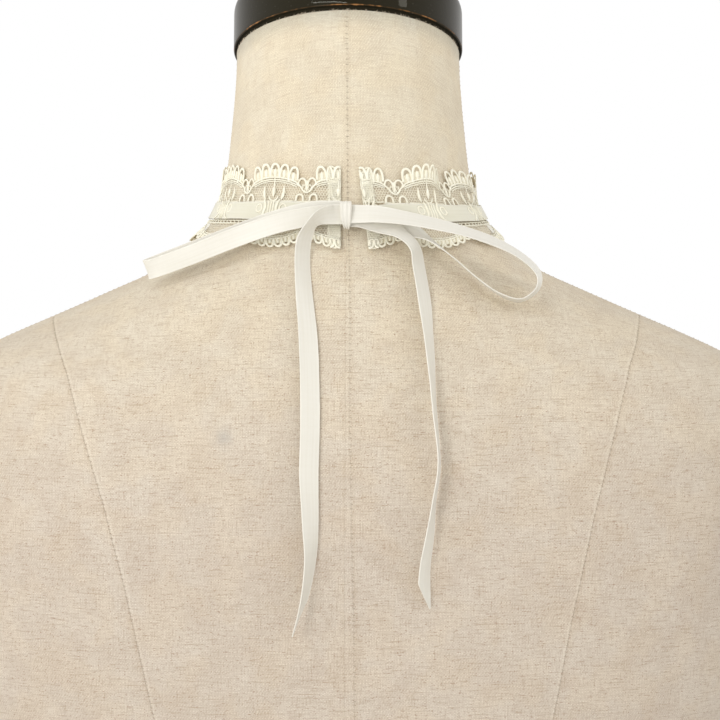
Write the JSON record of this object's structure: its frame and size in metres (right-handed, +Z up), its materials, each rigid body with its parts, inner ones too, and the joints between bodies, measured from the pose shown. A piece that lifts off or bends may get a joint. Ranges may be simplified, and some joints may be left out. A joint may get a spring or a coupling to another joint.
{
  "type": "lace choker with a ribbon bow on a limbless dress form",
  "caption": "Ivory scalloped lace choker threaded with satin ribbon and tied in a bow behind, worn on a linen covered half dress form with a black neck cap.",
  "frame": {"origin": "middle of the dress form's flat base, 0.397 m below the ribbon's middle line", "axes": "+Z up, the bow and the wearer's back at +Y, the wearer's front towards -Y, the wearer's left towards +X"},
  "size_m": [0.389, 0.2432, 0.5169],
  "materials": {
    "linen": "slubby plain weave linen",
    "black_lacquer": "gloss black lacquer",
    "ivory_lace": "embroidered net",
    "ivory_satin": "satin"
  },
  "bodies": {
    "root": {"form_body": "linen", "neck_cap": "black_lacquer", "lace_band": "ivory_lace", "ribbon_band": "ivory_satin", "ribbon_knot": "ivory_satin", "loop_left": "ivory_satin", "loop_right": "ivory_satin", "tail_left": "ivory_satin", "tail_right": "ivory_satin"}
  },
  "joints": []
}
